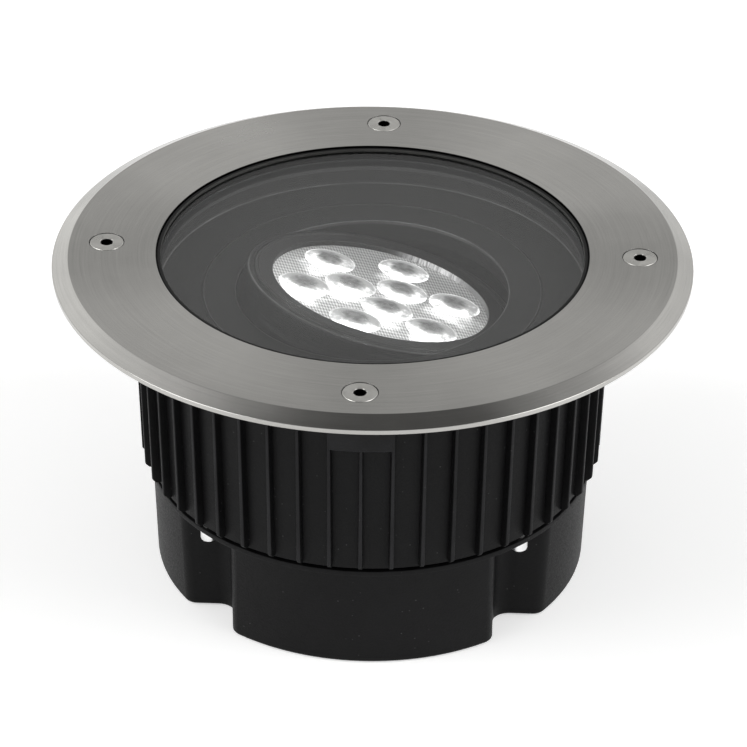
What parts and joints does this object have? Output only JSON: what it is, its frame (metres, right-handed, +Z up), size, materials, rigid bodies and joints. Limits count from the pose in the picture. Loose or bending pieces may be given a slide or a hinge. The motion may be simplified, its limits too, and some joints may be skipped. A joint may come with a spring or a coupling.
{
  "type": "in-ground well light",
  "caption": "Round in-ground well light: stainless trim ring and glass over a finned body, with an LED head that turns and tilts, on a lobed wiring housing.",
  "frame": {"origin": "centre of the flat base that the light stands on", "axes": "+Z up through the trim ring and glass; -Y is the front, where one trim screw lies; the cable gland points along +Y"},
  "size_m": [0.22, 0.22, 0.1195],
  "materials": {
    "brushed_stainless": "circular brushed",
    "screw_steel": "satin",
    "zinc_screws": "bright zinc",
    "spring_steel": "oiled",
    "clear_glass": "clear, polished",
    "black_rubber": "matt",
    "black_plastic": "fine texture",
    "dark_paint": "matt dark grey paint",
    "black_powder_coat": "fine-grained powder coat",
    "driver_case": "moulded",
    "terminal_plastic": "moulded",
    "gland_plastic": "moulded",
    "clear_lens": "moulded, finely ruled",
    "board_white": "solder mask",
    "led_yellow": "glowing",
    "bare_aluminium": "extruded",
    "washer_nylon": "plain"
  },
  "bodies": {
    "housing": {"trim_ring": "brushed_stainless", "trim_screws": "screw_steel", "cover_glass": "clear_glass", "glass_gasket": "black_rubber", "glass_seat_ring": "black_plastic", "baffle": "dark_paint", "finned_body": "black_powder_coat", "base_gasket": "black_rubber", "lower_housing": "black_powder_coat", "base_screws": "zinc_screws", "lead_grommet": "black_rubber", "led_driver": "driver_case", "driver_screws": "zinc_screws", "terminal_block": "terminal_plastic", "terminal_block_screws": "zinc_screws", "gland_body": "gland_plastic", "gland_locknut": "gland_plastic", "gland_seal": "black_rubber", "gland_cap": "gland_plastic"},
    "turntable": {"turntable": "dark_paint", "turntable_circlip": "spring_steel"},
    "head": {"head_shell": "dark_paint", "head_bezel": "dark_paint", "lens_plate": "clear_lens", "lens_holder": "black_plastic", "led_board": "board_white", "leds": "led_yellow", "board_screws": "zinc_screws", "heat_sink": "bare_aluminium", "heat_sink_screws": "zinc_screws", "pivot_screws": "screw_steel", "friction_washers": "washer_nylon"}
  },
  "joints": [
    {"name": "head_turn", "type": "hinge", "parent": "housing", "child": "turntable", "pos_m": [0, 0, 0.0861], "axis": [0, 0, 1], "range_deg": [-175, 175]},
    {"name": "head_tilt", "type": "hinge", "parent": "turntable", "child": "head", "pos_m": [0, 0, 0.0861], "axis": [-0.515, 0.8572, 0], "range_deg": [-30, 0]}
  ]
}
